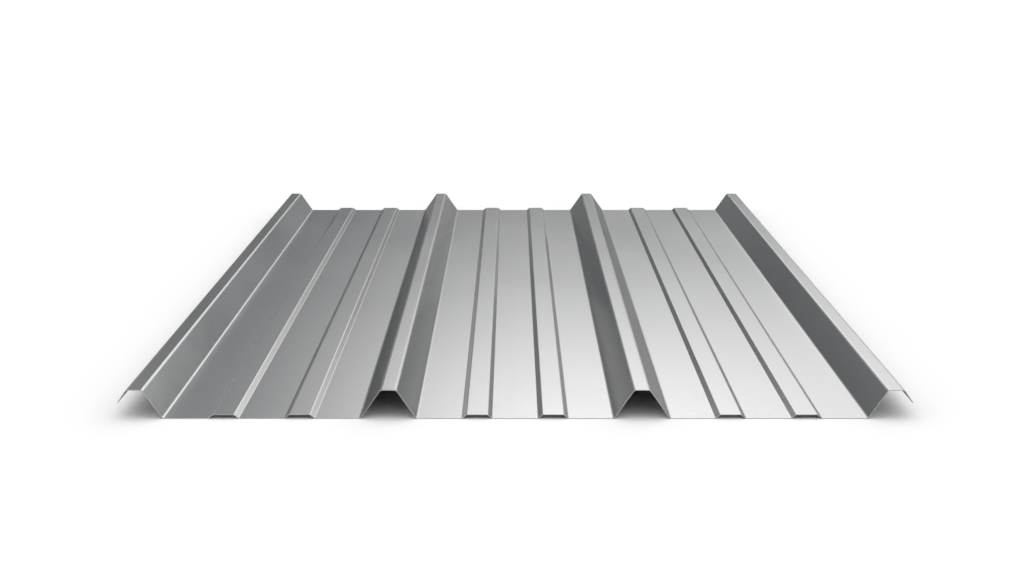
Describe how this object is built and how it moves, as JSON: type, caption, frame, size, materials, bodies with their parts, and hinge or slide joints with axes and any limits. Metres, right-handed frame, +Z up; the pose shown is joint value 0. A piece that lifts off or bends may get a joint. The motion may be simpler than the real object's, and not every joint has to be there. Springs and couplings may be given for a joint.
{
  "type": "trapezoidal steel sheet",
  "caption": "Long roll-formed steel sheet with high trapezoidal ribs, low stiffening ribs in the flat pans between them and a free lip along each side, for roofs and facades.",
  "frame": {"origin": "on the floor that the pans lie on, under the middle of the sheet's length and width", "axes": "+X across the ribs, +Y along them, +Z up from the pans towards the rib crowns"},
  "size_m": [1.0448, 2, 0.039],
  "materials": {
    "zinc_coated_steel": "satin zinc coating, smooth, with faint rolling marks along the length"
  },
  "bodies": {
    "root": {"trapezoidal_sheet": "zinc_coated_steel"}
  },
  "joints": []
}
